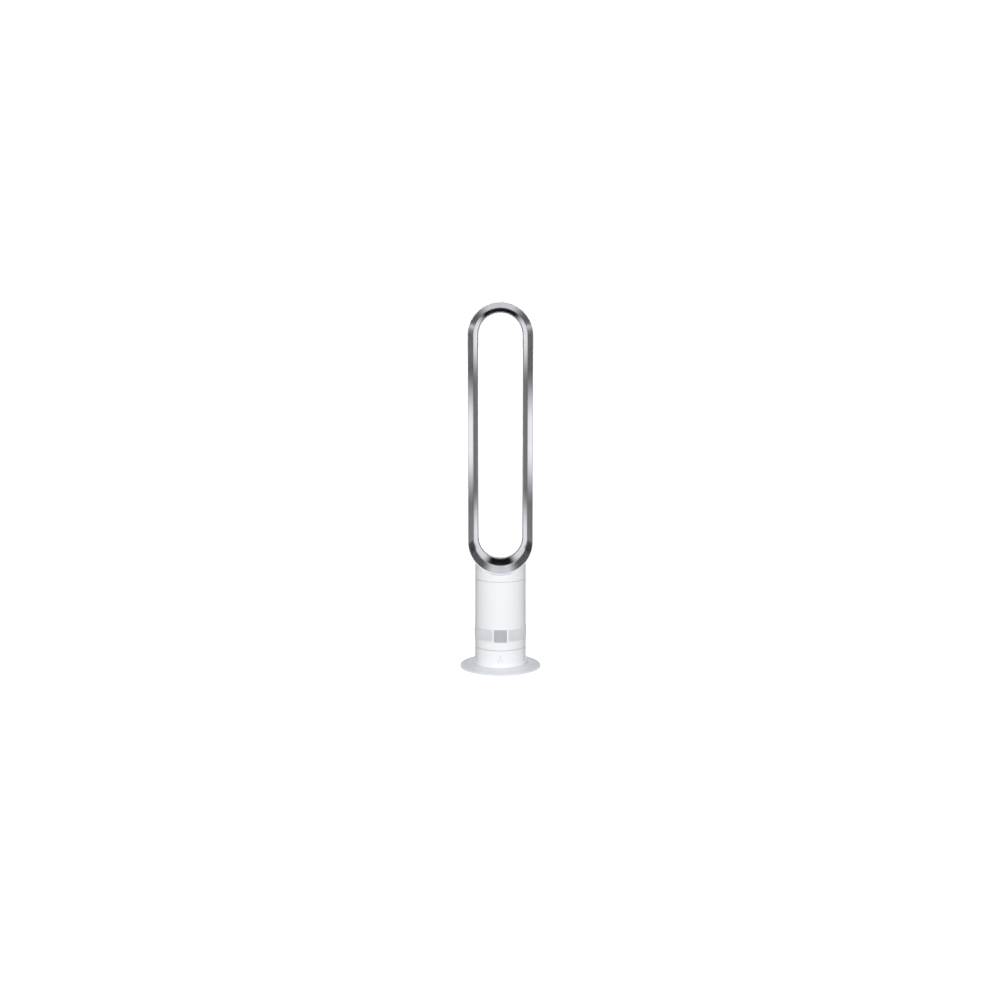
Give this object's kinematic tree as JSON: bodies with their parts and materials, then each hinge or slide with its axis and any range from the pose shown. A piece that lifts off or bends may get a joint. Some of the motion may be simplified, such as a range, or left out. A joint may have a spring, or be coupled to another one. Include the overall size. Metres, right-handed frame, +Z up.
{
  "type": "tower fan",
  "caption": "Loop-type tower fan: a tall racetrack air loop on a white cylindrical body that swings on a short base with a thin round foot.",
  "frame": {"origin": "on the floor, on the fan's vertical axis at the middle of the round foot", "axes": "+Z up along the height of the fan, -Y towards the front with the window and the power button, +X to the right seen from the front"},
  "size_m": [0.226, 0.226, 1.007],
  "materials": {
    "white_abs": "gloss white moulded ABS",
    "grey_abs": "satin grey moulded ABS",
    "grille_grey": "satin light grey moulded polycarbonate",
    "frame_white": "gloss white moulded ABS",
    "smoked_window": "gloss smoked grey polycarbonate",
    "clear_acrylic": "frosted clear acrylic",
    "button_plastic": "gloss white moulded ABS",
    "dark_plastic": "matte black moulded nylon",
    "acetal": "natural acetal",
    "circuit_board": "green solder mask",
    "cable_sheath": "black PVC sheath",
    "foam": "open-cell acoustic foam",
    "rubber": "moulded rubber",
    "steel": "zinc-plated steel",
    "motor_can": "drawn steel can",
    "lamination_steel": "stacked electrical steel",
    "magnet": "sintered ferrite",
    "copper": "enamelled copper wire",
    "heatsink_aluminium": "die-cast aluminium",
    "nickel": "ABS vacuum-metallised in satin nickel"
  },
  "bodies": {
    "base": {"foot_plate": "white_abs", "foot_ballast": "steel", "foot_bottom_cover": "grey_abs", "foot_pads": "rubber", "foot_screws": "steel", "base_casing": "white_abs", "cord_gland": "rubber", "glide_ring": "acetal", "oscillation_motor": "motor_can", "oscillation_motor_screws": "steel", "power_switch": "dark_plastic", "switch_board": "circuit_board", "status_light_pipe": "clear_acrylic", "swivel_retainer": "acetal", "retainer_screws": "steel", "hub_cable": "cable_sheath"},
    "button": {"power_button": "button_plastic"},
    "pinion": {"oscillation_pinion": "acetal"},
    "tower": {"turntable": "grey_abs", "ring_gear": "acetal", "body_casing": "white_abs", "casing_screws": "steel", "inlet_grille": "grille_grey", "display_frame": "frame_white", "display_window": "smoked_window", "display_board": "circuit_board", "display_module": "dark_plastic", "infrared_receiver": "dark_plastic", "main_board": "circuit_board", "board_screws": "steel", "smoothing_capacitors": "dark_plastic", "driver_heatsink": "heatsink_aluminium", "silencer_foam": "foam", "impeller_bucket": "grey_abs", "isolation_mounts": "rubber", "bucket_seal": "rubber", "motor_housing": "heatsink_aluminium", "motor_end_cap": "heatsink_aluminium", "motor_bearings": "steel", "stator_core": "lamination_steel", "stator_windings": "copper", "diffuser": "grey_abs", "motor_fairing": "grey_abs", "neck_collar": "white_abs", "duct_gasket": "rubber", "loop_locks": "grey_abs", "loop_shell": "white_abs", "front_bezel": "nickel", "coanda_ring": "nickel", "slot_spacers": "grey_abs"},
    "rotor": {"impeller": "dark_plastic", "rotor_shaft": "steel", "rotor_magnet": "magnet"}
  },
  "joints": [
    {"name": "oscillation", "type": "hinge", "parent": "base", "child": "tower", "pos_m": [0, 0, 0.058], "axis": [0, 0, 1], "range_deg": [-35, 35]},
    {"name": "oscillation_drive", "type": "hinge", "parent": "base", "child": "pinion", "pos_m": [0, 0.036, 0.05], "axis": [0, 0, 1], "range_deg": [-142, 142]},
    {"name": "impeller_spin", "type": "hinge", "parent": "tower", "child": "rotor", "pos_m": [0, 0, 0.15], "axis": [0, 0, 1], "continuous": true},
    {"name": "power_press", "type": "slide", "parent": "base", "child": "button", "axis": [0, 1, 0], "range_m": [0, 0.0012], "stiffness_N_per_m": 1500}
  ],
  "couplings": [
    {"joint": "oscillation_drive", "follows": "oscillation", "ratio": 4}
  ]
}
